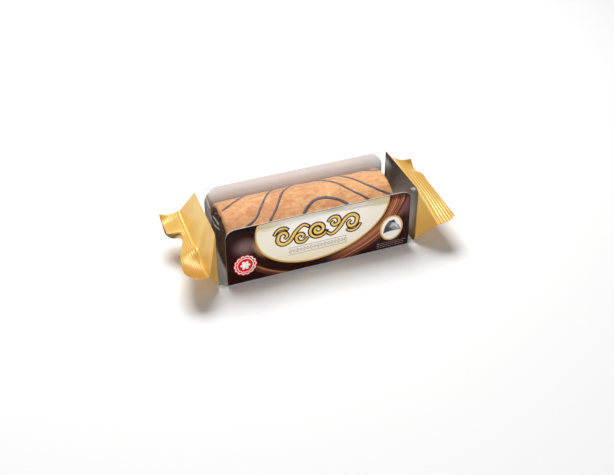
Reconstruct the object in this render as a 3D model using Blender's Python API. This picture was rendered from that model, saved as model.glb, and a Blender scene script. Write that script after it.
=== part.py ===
"""Sealed flow-wrap pack of a swiss roll cake, as one solid out to the film's own outline.

The middle is the square-cornered length held out by the card tray. At each end the four walls of the
film close down on a crimped seam, and a ribbed fin, two films thick, runs on from the seam to a cut edge
that has been bent into soft waves. The pack lies along X on the flat underside of its tray.
"""

import bmesh
import bpy
import numpy as np

# Driving dimensions, in metres
TRAY_LENGTH = 0.200
TRAY_WIDTH = 0.077
TRAY_HEIGHT = 0.0706
BOX_LENGTH = 0.216  # the square-cornered length, film standing past the tray included
SEAM_REACH = 0.1235  # from the middle of the pack to where each crimp starts
PACK_LENGTH = 0.291  # between the two cut edges
SEAM_WIDTH = 0.116  # along the crimp, front to back
FIN_THICKNESS = 0.0012  # the two films of a fin with the air that its ribs hold
TRAY_CORNER = 0.0015  # radius of the film where the tray holds it tight
END_CORNER = 0.006  # radius of the film at the end of the box, past the tray
END_SINK = 0.0018  # how far the loose film falls in from the tray's top and base

# Points across a seam, and stations along a closing end and along a fin
ROW_POINTS = 35
SIDE_POINTS = 6
CLOSING_STATIONS = 3
FIN_STATIONS = 5

# Each wave is its centre along Y, its spread and its rise, all in metres
ENDS = {
    "left": {
        "side": -1.0,
        "back_end": 0.053,
        "seam_level": 0.0353,
        "seam_waves": ((0.060, 0.020, 0.003), (-0.018, 0.009, 0.0065), (-0.042, 0.012, -0.0035)),
        "edge_level": 0.0330,
        "edge_waves": ((0.056, 0.008, 0.007), (-0.055, 0.026, 0.0045), (0.014, 0.009, -0.0015)),
        "notch": 0.014,
        "corner_clip": 0.012,
    },
    "right": {
        "side": 1.0,
        "back_end": 0.058,
        "seam_level": 0.0435,
        "seam_waves": ((-0.066, 0.036, -0.0105),),
        "edge_level": 0.0365,
        "edge_waves": ((0.047, 0.012, -0.006), (0.062, 0.006, 0.005), (0.027, 0.006, 0.001)),
        "notch": 0.0,
        "corner_clip": 0.0065,
    },
}
NOTCH_START, NOTCH_DEEPEST, NOTCH_SPREAD = 0.027, 0.018, 0.032
FOIL_GOLD = (0.93, 0.62, 0.20, 1.0)


def smooth_step(value, start, end):
    """0 before start, 1 after end, and an even S between them."""
    share = np.clip((value - start) / (end - start), 0.0, 1.0)
    return share * share * (3.0 - 2.0 * share)


def waves(level, humps, y):
    """A level with a bell-shaped hump for each (centre, spread, rise)."""
    return level + sum(rise * np.exp(-(((y - centre) / spread) ** 2)) for centre, spread, rise in humps)


def edge_reach(end, y):
    """How far the cut edge stands from the middle of the pack: full, but for a notch steep at its back."""
    steep = 1.0 - smooth_step(y, NOTCH_DEEPEST, NOTCH_START)
    gentle = np.exp(-((np.minimum(y - NOTCH_DEEPEST, 0.0) / NOTCH_SPREAD) ** 2))
    return PACK_LENGTH / 2 - end["notch"] * steep * gentle


def box_section(x, width, low, high, radius):
    """A round-cornered rectangle across the pack: front side, top row, back side, then base row."""
    quarter = np.linspace(0.0, np.pi / 2, SIDE_POINTS // 2)
    inset = width / 2 - radius
    lower = np.stack([-inset - radius * np.sin(quarter), low + radius - radius * np.cos(quarter)], 1)
    upper = np.stack([-inset - radius * np.cos(quarter), high - radius + radius * np.sin(quarter)], 1)
    front = np.concatenate([lower, upper])
    back = front[::-1] * (-1.0, 1.0)
    row = np.linspace(-inset, inset, ROW_POINTS)[1:-1]
    top = np.stack([row, np.full_like(row, high)], 1)
    base = np.stack([row[::-1], np.full_like(row, low)], 1)
    flat = np.concatenate([front, top, back, base])
    return np.column_stack([np.full(len(flat), x), flat])


def fin_section(end, reach):
    """The thin section of a fin, where reach runs from 0 at the seam to 1 at the cut edge."""
    front_end = -SEAM_WIDTH / 2 + end["corner_clip"] * reach**4
    y = np.linspace(front_end, end["back_end"], ROW_POINTS)
    x = SEAM_REACH + reach * (edge_reach(end, y) - SEAM_REACH)
    seam_height = waves(end["seam_level"], end["seam_waves"], y)
    edge_height = waves(end["edge_level"], end["edge_waves"], y)
    z = seam_height + reach * (edge_height - seam_height)
    middle = np.stack([end["side"] * x, y, z], 1)
    half = FIN_THICKNESS / 2
    turn = np.linspace(-np.pi / 2, np.pi / 2, SIDE_POINTS)
    round_end = np.stack([np.zeros_like(turn), -half * np.cos(turn), half * np.sin(turn)], 1)
    front = middle[0] + round_end
    back = middle[-1] + round_end[::-1] * (1.0, -1.0, 1.0)
    lift = np.array((0.0, 0.0, half))
    return np.concatenate([front, middle[1:-1] + lift, back, middle[-2:0:-1] - lift])


def end_sections(end):
    """The sections of one end, from its cut edge in to the tray."""
    side = end["side"]
    fin = [fin_section(end, reach) for reach in np.linspace(1.0, 0.0, FIN_STATIONS)]
    box = box_section(
        side * BOX_LENGTH / 2, TRAY_WIDTH, END_SINK, TRAY_HEIGHT - END_SINK, END_CORNER
    )
    shares = np.linspace(0.0, 1.0, CLOSING_STATIONS + 2)[1:-1]
    closing = [fin[-1] + share * (box - fin[-1]) for share in shares]
    tray = box_section(side * TRAY_LENGTH / 2, TRAY_WIDTH, 0.0, TRAY_HEIGHT, TRAY_CORNER)
    return [*fin, *closing, box, tray]


def cut_edge_faces(first):
    """A fin's narrow end face, as a strip between its top and base rows with a round tip at each end."""
    count = 2 * (SIDE_POINTS + ROW_POINTS - 2)
    top = [first + i for i in range(SIDE_POINTS - 1, SIDE_POINTS + ROW_POINTS - 1)]
    base = [first + (count - i) % count for i in range(ROW_POINTS)]
    strip = [(top[i], top[i + 1], base[i + 1], base[i]) for i in range(ROW_POINTS - 1)]
    tips = [[first + i for i in range(SIDE_POINTS)]]
    tips.append([first + SIDE_POINTS + ROW_POINTS - 2 + i for i in range(SIDE_POINTS)])
    return strip + tips


def foil_material():
    material = bpy.data.materials.new("gold_foil")
    material.use_nodes = True
    shader = material.node_tree.nodes["Principled BSDF"]
    shader.inputs["Base Color"].default_value = FOIL_GOLD
    shader.inputs["Roughness"].default_value = 0.35
    shader.inputs["Metallic"].default_value = 0.3
    return material


def sealed_pack(collection):
    """The whole pack, lofted through sections that turn from a thin fin to a box and back."""
    sections = end_sections(ENDS["left"]) + end_sections(ENDS["right"])[::-1]
    count = len(sections[0])
    faces = [
        (ring * count + i, ring * count + (i + 1) % count,
         (ring + 1) * count + (i + 1) % count, (ring + 1) * count + i)
        for ring in range(len(sections) - 1)
        for i in range(count)
    ]
    faces += cut_edge_faces(0) + cut_edge_faces((len(sections) - 1) * count)
    mesh = bpy.data.meshes.new("sealed_pack")
    mesh.from_pydata(np.concatenate(sections).tolist(), [], faces)
    shape = bmesh.new()
    shape.from_mesh(mesh)
    bmesh.ops.recalc_face_normals(shape, faces=shape.faces)
    shape.to_mesh(mesh)
    shape.free()
    mesh.shade_smooth()
    mesh.set_sharp_from_angle(angle=np.radians(35))
    mesh.materials.append(foil_material())
    pack = bpy.data.objects.new("sealed_pack", mesh)
    collection.objects.link(pack)
    return pack


def main():
    for old in list(bpy.data.objects):
        bpy.data.objects.remove(old)
    collection = bpy.data.collections.new("swiss_roll_pack")
    bpy.context.scene.collection.children.link(collection)
    sealed_pack(collection)


main()
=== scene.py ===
"""Looks of a swiss roll cake on its printed card tray, sealed in a clear film with gold crimped ends."""

import bpy
import numpy as np
from bpy.props import FloatProperty, FloatVectorProperty, IntProperty, PointerProperty
from mathutils import Matrix, Vector


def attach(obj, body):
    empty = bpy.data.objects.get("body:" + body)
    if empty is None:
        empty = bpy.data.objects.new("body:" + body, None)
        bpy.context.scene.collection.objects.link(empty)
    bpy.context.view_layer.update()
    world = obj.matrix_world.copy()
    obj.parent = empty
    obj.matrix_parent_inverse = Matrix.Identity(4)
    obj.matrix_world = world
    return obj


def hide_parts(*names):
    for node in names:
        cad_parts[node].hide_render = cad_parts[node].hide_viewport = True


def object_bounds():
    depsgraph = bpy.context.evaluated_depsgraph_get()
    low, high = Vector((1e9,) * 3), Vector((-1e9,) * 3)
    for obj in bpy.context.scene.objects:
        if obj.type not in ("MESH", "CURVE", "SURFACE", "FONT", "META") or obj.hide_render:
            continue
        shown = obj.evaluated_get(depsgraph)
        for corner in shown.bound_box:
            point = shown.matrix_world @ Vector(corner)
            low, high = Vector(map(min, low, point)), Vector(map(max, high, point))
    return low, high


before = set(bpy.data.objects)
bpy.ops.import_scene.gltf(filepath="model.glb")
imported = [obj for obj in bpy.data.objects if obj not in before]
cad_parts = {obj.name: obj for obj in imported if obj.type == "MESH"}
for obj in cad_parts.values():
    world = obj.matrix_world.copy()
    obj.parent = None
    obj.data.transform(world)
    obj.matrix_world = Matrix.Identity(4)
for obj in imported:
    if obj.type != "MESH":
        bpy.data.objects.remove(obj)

bl_info = {
    "name": "Swiss Roll Pack",
    "version": (1, 0, 0),
    "blender": (4, 5, 0),
    "location": "3D View > Sidebar > Swiss Roll",
    "description": "Builds a swiss roll cake in a printed tray and a clear film with gold ends",
    "category": "Mesh",
}

CAD_LOW, CAD_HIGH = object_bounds()
PACK_NODE = "sealed_pack"
FULL_TURN = 2.0 * np.pi

# Each wave is its centre along Y, its spread and its rise, all in metres
FILM_ENDS = {
    "left": {
        "side": -1.0,
        "box_reach": 0.1095,
        "box_lean": 0.0,
        "back_end": 0.053,
        "seam_level": 0.0353,
        "seam_waves": ((0.060, 0.020, 0.003), (-0.018, 0.009, 0.0065), (-0.042, 0.012, -0.0035)),
        "edge_level": 0.0330,
        "edge_waves": ((0.056, 0.008, 0.007), (-0.055, 0.026, 0.0045), (0.014, 0.009, -0.0015)),
        "notch": 0.014,
        "corner_clip": 0.012,
        "droop": 0.006,
        "rib_scale": 0.95,
        "front_ribs": 0.45,
    },
    "right": {
        "side": 1.0,
        "box_reach": 0.1062,
        "box_lean": 0.0016,
        "back_end": 0.058,
        "seam_level": 0.0435,
        "seam_waves": ((-0.066, 0.036, -0.0105),),
        "edge_level": 0.0365,
        "edge_waves": ((0.047, 0.012, -0.006), (0.062, 0.006, 0.005), (0.027, 0.006, 0.001)),
        "notch": 0.0,
        "corner_clip": 0.0065,
        "droop": 0.0,
        "rib_scale": 1.35,
        "front_ribs": 1.0,
    },
}


# ---------------------------------------------------------------- settings that a user can change


def linear(red, green, blue):
    """A display colour given from 0 to 255, as the linear values that shaders work in."""
    share = np.array((red, green, blue)) / 255.0
    curve = np.where(share <= 0.04045, share / 12.92, ((share + 0.055) / 1.055) ** 2.4)
    return tuple(float(v) for v in curve)


def shaded(ink, share):
    """A linear colour times one share: darker below 1 and lighter above it."""
    return tuple(share * c for c in ink)


def length(name, default, description):
    """A length in metres."""
    return FloatProperty(
        name=name, description=description, default=default, min=0.0, unit="LENGTH", subtype="DISTANCE"
    )


def colour(name, default, description):
    """A linear colour."""
    return FloatVectorProperty(
        name=name, description=description, default=default, min=0.0, max=1.0, size=3, subtype="COLOR"
    )


class TraySizes(bpy.types.PropertyGroup):
    length: length("Length", 0.200, "Along the tray")
    width: length("Width", 0.0758, "Front panel to back panel, outside")
    height: length("Height", 0.0700, "Height of both panels")
    card: length("Card", 0.0006, "Thickness of the card")
    front_corner: length("Front corner", 0.011, "Radius of the front panel's top corners")
    back_corner: length("Back corner", 0.018, "Radius of the back panel's top corners")


class FilmSizes(bpy.types.PropertyGroup):
    width: length("Width", 0.077, "Width of the film round the tray")
    height: length("Height", CAD_HIGH.z - CAD_LOW.z, "Height of the film round the tray")
    seam_reach: length("Seam reach", 0.1235, "From the middle of the pack to where each crimp starts")
    seam_width: length("Seam width", 0.116, "Along the crimp, front to back")
    length: length("Length", CAD_HIGH.x - CAD_LOW.x, "Between the two cut edges")
    rib_pitch: length("Rib pitch", 0.0025, "Between the ribs of the crimp")
    rib_height: length("Rib height", 0.00055, "Depth of the crimp's ribs")
    thickness: length("Thickness", 0.00008, "Thickness of the gold film")


class CakeSizes(bpy.types.PropertyGroup):
    length: length("Length", 0.182, "Along the roll")
    middle: FloatProperty(name="Middle", description="Middle of the roll along X", default=-0.0039,
                          unit="LENGTH", subtype="DISTANCE")
    half_width: length("Half width", 0.0366, "Half of the roll's width")
    half_height: length("Half height", 0.0338, "Half of the roll's height")
    sponge: length("Sponge", 0.0086, "Thickness of the rolled sponge")
    filling: length("Filling", 0.0021, "Thickness of the cream between the turns")
    icing_width: length("Icing width", 0.0023, "Width of the icing lines")


class PrintSizes(bpy.types.PropertyGroup):
    oval_half_width: length("Oval half width", 0.0722, "Half of the oval's longer axis")
    oval_half_height: length("Oval half height", 0.0506, "Half of the oval's shorter axis")
    oval_tilt: FloatProperty(name="Oval tilt", description="Turn of the oval in the panel", default=0.209,
                             unit="ROTATION", subtype="ANGLE")
    rim: length("Rim", 0.0015, "Width of the oval's gold rim")
    badge: length("Badge", 0.0128, "Radius of the round badge")
    badge_points: IntProperty(name="Badge points", description="Scallops round the badge", default=14, min=5)


class PackColours(bpy.types.PropertyGroup):
    gold_film: colour("Gold film", linear(255, 213, 120), "Outside of the gold ends")
    film_inside: colour("Film inside", linear(204, 193, 180), "Unprinted inner face of the gold ends")
    dark_print: colour("Dark print", linear(42, 6, 5), "Ground colour of the printed panels")
    brown_print: colour("Brown print", linear(158, 88, 55), "Sweeps of brown round the oval")
    copper_print: colour("Copper print", linear(206, 142, 106), "Fine bright streaks in the sweeps")
    cream_print: colour("Cream print", linear(240, 232, 216), "Field of the oval")
    gold_print: colour("Gold print", linear(222, 182, 96), "Rims and the scroll ornament")
    red_print: colour("Red print", linear(228, 10, 22), "Badge")
    card: colour("Card", linear(252, 247, 245), "Unprinted side of the card")
    sponge_skin: colour("Sponge skin", linear(234, 178, 125), "Outside of the roll")
    sponge_brown: colour("Baked patches", linear(212, 146, 98), "Darker baked patches of the skin")
    crumb: colour("Crumb", linear(206, 160, 104), "Cut crumb of the sponge")
    filling: colour("Filling", linear(58, 42, 40), "Cream between the turns")
    icing: colour("Icing", linear(96, 84, 94), "Lines on the roll")


class SwissRollSettings(bpy.types.PropertyGroup):
    tray: PointerProperty(type=TraySizes)
    film: PointerProperty(type=FilmSizes)
    cake: PointerProperty(type=CakeSizes)
    front: PointerProperty(type=PrintSizes)
    colours: PointerProperty(type=PackColours)


def settings():
    return bpy.context.scene.swiss_roll


# ---------------------------------------------------------------- shapes as arrays of points


def smooth_step(value, start, end):
    """0 before start, 1 after end, and an even S between them."""
    share = np.clip((value - start) / (end - start), 0.0, 1.0)
    return share * share * (3.0 - 2.0 * share)


def bell(value, centre, spread):
    """1 at the centre, falling away evenly on both sides."""
    return np.exp(-(((value - centre) / spread) ** 2))


def waves(level, humps, y):
    """A level with a bell-shaped hump for each (centre, spread, rise)."""
    return level + sum(rise * bell(y, centre, spread) for centre, spread, rise in humps)


def unevenness(u, v, pitch, seed, count=14):
    """Soft hills between about -1 and 1: a sum of sine waves in seeded directions, near one pitch apart."""
    random = np.random.default_rng(seed)
    turn = random.uniform(0.0, np.pi, count)
    rate = FULL_TURN / (pitch * random.uniform(0.6, 1.7, count))
    phase = random.uniform(0.0, FULL_TURN, count)
    total = np.zeros(np.broadcast(u, v).shape)
    for angle, speed, start in zip(turn, rate, phase):
        total = total + np.sin(speed * (u * np.cos(angle) + v * np.sin(angle)) + start)
    return total / np.sqrt(2.0 * count)


def smooth_path(points, count):
    """A Catmull-Rom curve through the points, which bends evenly and passes through each of them."""
    p = np.asarray(points, float)
    p = np.concatenate([[2 * p[0] - p[1]], p, [2 * p[-1] - p[-2]]])
    place = np.linspace(0.0, len(p) - 3 - 1e-9, count)
    i = place.astype(int)
    t = (place - i)[:, None]
    a, b, c, d = p[i], p[i + 1], p[i + 2], p[i + 3]
    return 0.5 * (2 * b + (c - a) * t + (2 * a - 5 * b + 4 * c - d) * t**2 + (3 * b - a - 3 * c + d) * t**3)


def grid_faces(rows, columns, wrap_rows=False, wrap_columns=False):
    """Quads between neighbouring points of a grid, whose numbers run along each row."""
    r = np.arange(rows if wrap_rows else rows - 1)[:, None]
    c = np.arange(columns if wrap_columns else columns - 1)[None, :]
    r2, c2 = (r + 1) % rows, (c + 1) % columns
    corners = (r * columns + c, r * columns + c2, r2 * columns + c2, r2 * columns + c)
    return np.stack(np.broadcast_arrays(*corners), -1).reshape(-1, 4)


def make_piece(name, points, faces, materials, slot, face_materials=None, attributes=None, sharp=None):
    """A mesh object from an array of points and lists of faces, smooth shaded, riding on the pack."""
    mesh = bpy.data.meshes.new(name)
    faces = [list(map(int, face)) for face in faces]
    mesh.from_pydata(np.asarray(points, float).reshape(-1, 3).tolist(), [], faces)
    for material in materials:
        mesh.materials.append(material)
    if face_materials is not None:
        mesh.polygons.foreach_set("material_index", np.asarray(face_materials, np.int32))
    for label, values in (attributes or {}).items():
        layer = mesh.attributes.new(label, "FLOAT", "POINT")
        layer.data.foreach_set("value", np.asarray(values, np.float32).ravel())
    mesh.shade_smooth()
    if sharp is not None:
        mesh.set_sharp_from_angle(angle=np.radians(sharp))
    mesh.update()
    piece = bpy.data.objects.new(name, mesh)
    bpy.context.scene.collection.objects.link(piece)
    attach(piece, "root")
    return piece


def give_thickness(piece, thickness, inner=0, rim=0):
    """A wall grown inwards from the modelled face, with material offsets for its inner face and its rim."""
    wall = piece.modifiers.new("wall", "SOLIDIFY")
    wall.thickness = thickness
    wall.offset = -1.0
    wall.material_offset = inner
    wall.material_offset_rim = rim
    wall.use_quality_normals = True


# ---------------------------------------------------------------- materials


class Finish:
    """One material and short calls that add nodes to its tree."""

    def __init__(self, name, **values):
        self.material = bpy.data.materials.new(name)
        self.material.use_nodes = True
        self.tree = self.material.node_tree
        self.shader = self.tree.nodes["Principled BSDF"]
        self.output = self.tree.nodes["Material Output"]
        self.fill(self.shader, values)
        self.place = self.add("ShaderNodeTexCoord").outputs["Object"]

    def fill(self, made, values):
        """Sets each named input to a value, or links it when given another node's output."""
        for key, value in values.items():
            socket = made.inputs[key] if isinstance(key, int) else made.inputs[key.replace("_", " ")]
            if isinstance(value, bpy.types.NodeSocket):
                self.tree.links.new(value, socket)
            elif hasattr(value, "__len__") and len(value) == 3 and socket.type == "RGBA":
                socket.default_value = (*value, 1.0)
            else:
                socket.default_value = value

    def add(self, kind, changes=None, **values):
        made = self.tree.nodes.new(kind)
        for key, value in (changes or {}).items():
            setattr(made, key, value)
        self.fill(made, values)
        return made

    def calc(self, operation, first, second=0.0, third=0.0, clamp=False):
        made = self.add("ShaderNodeMath", {"operation": operation, "use_clamp": clamp})
        self.fill(made, {0: first, 1: second, 2: third})
        return made.outputs[0]

    def product(self, *factors):
        """All the factors multiplied together, from the last to the first."""
        total = factors[-1]
        for factor in factors[-2::-1]:
            total = self.calc("MULTIPLY", factor, total)
        return total

    def fade(self, value, start, end):
        """0 at start and 1 at end, with an even S between."""
        made = self.add("ShaderNodeMapRange", {"interpolation_type": "SMOOTHSTEP"},
                        Value=value, From_Min=start, From_Max=end)
        return made.outputs["Result"]

    def band(self, value, centre, spread):
        """1 at the centre of a soft band and 0 beyond its spread on both sides."""
        away = self.calc("ABSOLUTE", self.calc("SUBTRACT", value, centre))
        return self.fade(away, spread, 0.0)

    def spot(self, x, z, half_width, half_height):
        """1 in the middle of a soft round spot on an upright panel and 0 outside it."""
        across = self.calc("DIVIDE", self.calc("SUBTRACT", self.axis("X"), x), half_width)
        up = self.calc("DIVIDE", self.calc("SUBTRACT", self.axis("Z"), z), half_height)
        away = self.calc("SQRT", self.calc("ADD", self.product(across, across), self.product(up, up)))
        return self.fade(away, 1.0, 0.0)

    def axis(self, name):
        if not hasattr(self, "split"):
            self.split = self.add("ShaderNodeSeparateXYZ", Vector=self.place)
        return self.split.outputs[name]

    def blend(self, factor, first, second):
        made = self.add("ShaderNodeMix", {"data_type": "RGBA", "clamp_factor": True})
        self.fill(made, {0: factor, 6: first, 7: second})
        return made.outputs[2]

    def layer(self, below, mask, strength, ink):
        """A colour laid over the one below it, as far as the mask times the strength."""
        return self.blend(self.product(mask, strength), below, ink)

    def noise(self, scale, detail=3.0, roughness=0.5, stretch=None):
        vector = self.place
        if stretch:
            vector = self.add("ShaderNodeMapping", Vector=vector, Scale=stretch).outputs[0]
        return self.add("ShaderNodeTexNoise", Vector=vector, Scale=scale, Detail=detail,
                        Roughness=roughness).outputs["Fac"]

    def attribute(self, name):
        return self.add("ShaderNodeAttribute", {"attribute_name": name}).outputs["Fac"]

    def bump(self, height, distance, strength=1.0):
        made = self.add("ShaderNodeBump", Height=height, Distance=distance, Strength=strength)
        self.fill(self.shader, {"Normal": made.outputs["Normal"]})

    def paint(self, socket):
        self.fill(self.shader, {"Base_Color": socket})


def oval_distance(finish):
    """How far out from the oval's middle a point is: 0 in the middle and 1 on the oval's edge."""
    front = settings().front
    middle_x, middle_z = OVAL_MIDDLE
    turned = finish.add(
        "ShaderNodeMapping", {"vector_type": "TEXTURE"}, Vector=finish.place,
        Location=(middle_x, 0.0, middle_z), Rotation=(0.0, -front.oval_tilt, 0.0),
        Scale=(front.oval_half_width, 1.0e3, front.oval_half_height),
    )
    away = finish.add("ShaderNodeVectorMath", {"operation": "LENGTH"})
    finish.fill(away, {0: turned.outputs[0]})
    return away.outputs["Value"]


# Bands of print round the oval, each with its middle and its spread in shares of the oval's size
RIGHT_SWEEP, LEFT_SWEEP = (1.17, 0.235), (1.265, 0.075)
RIGHT_LINE, LEFT_LINE = (1.235, 0.012), (1.235, 0.016)
OVAL_BROWN = (1.04, 0.075)
SWEEP_BEND = 0.05  # how far the noise bends a sweep, in the same shares
STREAK_RATE = 34.0  # about how many streaks there are in one oval size
STREAK_STRENGTH = 0.85

# The line of the wedge: a point on it, and how far it runs along X for each metre up
WEDGE_X, WEDGE_Z, WEDGE_LEAN = 0.0839, 0.0427, 0.545
CORNER_X, CORNER_LEAN = 0.076, -0.02


def printed_panel_finish():
    """Dark coated card with brown sweeps that follow the oval, their bright streaks, and soft painted
    reflections of the film.

    A sweep is a band of the distance from the oval's middle, bent a little by soft noise, that fades along X.
    Its streaks are noise of that same distance. The wedge, the corners and the painted reflections are bands
    of X and Z.
    """
    tint = settings().colours
    f = Finish("printed_panel", Roughness=0.42, Specular_IOR_Level=0.05)
    x, z = f.axis("X"), f.axis("Z")
    ripple = f.noise(6.0, 2.0, stretch=(6.0, 1.0, 6.0))
    bent = f.calc("ADD", oval_distance(f), f.product(f.calc("SUBTRACT", ripple, 0.5), SWEEP_BEND))

    def part(band, *fades):
        return f.product(f.band(bent, *band), *[f.fade(x, *ends) for ends in fades])

    left = part(LEFT_SWEEP, (-0.080, -0.064), (-0.018, -0.046))
    sweep = f.calc("MAXIMUM", part(RIGHT_SWEEP, (0.002, 0.046)), f.product(left, 0.42))
    ground = f.blend(f.noise(40.0, 2.0), tint.dark_print, shaded(tint.dark_print, 0.72))
    painted = f.blend(sweep, ground, tint.brown_print)
    fine = f.add("ShaderNodeTexNoise", {"noise_dimensions": "1D"}, W=f.product(bent, STREAK_RATE), Scale=1.0,
                 Detail=3.0).outputs["Fac"]
    for end, ink in ((0.62, tint.copper_print), (0.38, tint.dark_print)):
        painted = f.layer(painted, f.fade(fine, 0.50, end), f.product(sweep, STREAK_STRENGTH), ink)
    lines = f.calc("MAXIMUM", part(RIGHT_LINE, (0.018, 0.034), (0.074, 0.060)),
                   part(LEFT_LINE, (-0.068, -0.060), (-0.030, -0.046)))
    painted = f.layer(painted, lines, 0.8, linear(190, 130, 98))

    # The dark wedge that runs down from the top corner to the medallion, and a painted mauve reflection of
    # the film beside it
    slope = f.calc("SUBTRACT", f.calc("SUBTRACT", x, WEDGE_X),
                   f.product(f.calc("SUBTRACT", z, WEDGE_Z), WEDGE_LEAN))
    high = f.fade(z, 0.036, 0.050)
    painted = f.layer(painted, f.fade(slope, 0.0008, 0.0045), f.product(high, 0.85), linear(118, 76, 78))
    painted = f.layer(painted, f.product(f.band(slope, 0.0004, 0.0022), high), 0.9, linear(58, 22, 24))

    # The top corners darkened as painted dark reflections of the film, a painted dull reflection under the
    # left one, and the brown edge of the oval at the left
    level = f.calc("SUBTRACT", z, f.product(f.calc("SUBTRACT", x, CORNER_X), CORNER_LEAN))
    right_corner = f.product(f.fade(level, 0.0610, 0.0665), f.fade(x, 0.070, 0.078))
    painted = f.layer(painted, right_corner, 0.8, linear(60, 18, 22))
    left_corner = f.product(f.fade(z, 0.0615, 0.0660), f.fade(x, -0.066, -0.074))
    painted = f.layer(painted, left_corner, 0.9, linear(10, 8, 8))
    painted = f.layer(painted, f.spot(-0.0800, 0.0455, 0.017, 0.015), 0.85, linear(132, 104, 102))
    beside = f.product(f.band(bent, *OVAL_BROWN), f.fade(x, -0.050, -0.062), f.band(z, 0.039, 0.017))
    f.paint(f.layer(painted, beside, 0.85, linear(176, 126, 98)))
    return f.material


def cream_field_finish():
    """Cream print, whiter in the middle of the oval and warmer towards its edge, with painted shade and a
    painted reflection of the film near its top.

    The warmth grows with the distance from the oval's middle, and other layers fade with height: a warmer
    foot, a grey band of painted shade at the top, stretched noise near the top for painted shade of the
    film's fine creases, and, with the distance to either side, a tan painted reflection of film wrinkles in
    its upper corners.
    """
    tint = settings().colours
    f = Finish("cream_field", Roughness=0.45, Specular_IOR_Level=0.15)
    z = f.axis("Z")
    warm = f.blend(f.fade(oval_distance(f), 0.25, 0.95), linear(248, 243, 238), tint.cream_print)
    warm = f.layer(warm, f.fade(z, 0.034, 0.012), 0.7, linear(244, 229, 198))
    # Painted shade of the film: a grey band along the top of the field
    warm = f.layer(warm, f.fade(z, 0.0600, 0.0690), 0.75, linear(196, 188, 170))
    # Painted shade of the film's fine creases: grey streaks near the top
    folds = f.fade(f.noise(26.0, 3.0, 0.6, stretch=(0.8, 1.0, 7.0)), 0.50, 0.64)
    painted_crease_shade = f.product(folds, f.fade(z, 0.0560, 0.0660))
    warm = f.layer(warm, painted_crease_shade, 0.6, linear(168, 158, 134))
    # Painted reflection of film wrinkles: tan in the upper corners of the field
    aside = f.calc("ABSOLUTE", f.calc("SUBTRACT", f.axis("X"), 0.003))
    corner = f.product(f.fade(z, 0.056, 0.068), f.fade(aside, 0.040, 0.064))
    f.paint(f.layer(warm, corner, 0.7, linear(206, 184, 128)))
    return f.material


def gold_print_finish():
    """Gold ink, paler where it catches light and browner in soft patches."""
    tint = settings().colours
    f = Finish("gold_print", Roughness=0.38, Specular_IOR_Level=0.3)
    patch = f.fade(f.noise(60.0, 2.0), 0.40, 0.62)
    f.paint(f.blend(patch, tint.gold_print, linear(206, 160, 74)))
    return f.material


def flat_print_finish(name, ink, other=None):
    """One ink with a faint change of tone over the card, by soft noise."""
    f = Finish(name, Roughness=0.42, Specular_IOR_Level=0.15)
    other = other or shaded(ink, 0.86)
    f.paint(f.layer(ink, f.fade(f.noise(80.0, 2.0), 0.35, 0.65), 0.6, other))
    return f.material


def card_finish():
    """Uncoated white board with faint fibres and a slightly warm, uneven tone."""
    tint = settings().colours
    f = Finish("white_card", Roughness=0.72, Specular_IOR_Level=0.2)
    tone = f.noise(22.0, 2.0)
    fibre = f.noise(900.0, 3.0, stretch=(1.0, 1.0, 0.35))
    f.paint(f.layer(tint.card, f.fade(tone, 0.3, 0.7), 0.35, shaded(tint.card, 0.9)))
    f.bump(fibre, 0.00003, 0.4)
    return f.material


def sponge_skin_finish():
    """Soft baked skin: pale golden with browner patches, small pale flecks, fine pores and a matt gloss.

    Three noises of growing fineness each lay darker or paler layers, the left end is a little darker as
    painted shade, and the two finer noises raise the skin.
    """
    tint = settings().colours
    f = Finish("sponge_skin", Roughness=0.68, Specular_IOR_Level=0.22, Subsurface_Weight=0.12,
               Subsurface_Scale=0.0015)
    broad = f.noise(48.0, 4.0, 0.6, stretch=(0.7, 1.0, 1.0))
    small = f.noise(260.0, 4.0, 0.65, stretch=(0.55, 1.0, 1.0))
    fine = f.noise(700.0, 3.0, 0.6, stretch=(0.6, 1.0, 1.0))
    painted = tint.sponge_skin
    for grain, start, end, strength, ink in (
        (broad, 0.47, 0.62, 0.8, tint.sponge_brown),
        (small, 0.50, 0.66, 0.6, linear(204, 132, 88)),
        (small, 0.47, 0.32, 0.55, linear(252, 208, 158)),
        (fine, 0.56, 0.70, 0.35, linear(188, 118, 78)),
        (fine, 0.42, 0.28, 0.25, linear(255, 220, 176)),
        # painted shade: a browner left end of the roll
        (f.axis("X"), -0.055, -0.095, 0.35, linear(206, 142, 94)),
    ):
        painted = f.layer(painted, f.fade(grain, start, end), strength, ink)
    f.paint(painted)
    height = f.calc("ADD", f.product(small, 0.7), f.product(fine, 0.3))
    f.bump(height, 0.0005, 0.55)
    return f.material


def crumb_finish():
    """Cut crumb: pale yellow with open pores at Voronoi cells, and darker with painted shade deeper than the
    outer turn.
    """
    tint = settings().colours
    f = Finish("sponge_crumb", Roughness=0.85, Specular_IOR_Level=0.15, Subsurface_Weight=0.15,
               Subsurface_Scale=0.0015)
    pores = f.add("ShaderNodeTexVoronoi", Vector=f.place, Scale=520.0).outputs["Distance"]
    hole = f.fade(pores, 0.34, 0.12)
    tone = f.fade(f.noise(140.0, 3.0), 0.35, 0.65)
    painted = f.blend(tone, tint.crumb, shaded(tint.crumb, 0.88))
    # Painted shade: the crumb darker deeper inside the roll, past its outer turn
    painted = f.blend(f.fade(f.attribute("inward"), 0.07, 0.13), painted, linear(112, 80, 54))
    f.paint(f.layer(painted, hole, 0.6, linear(120, 82, 50)))
    f.bump(f.calc("SUBTRACT", 1.0, hole), 0.0004, 0.6)
    return f.material


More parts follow.
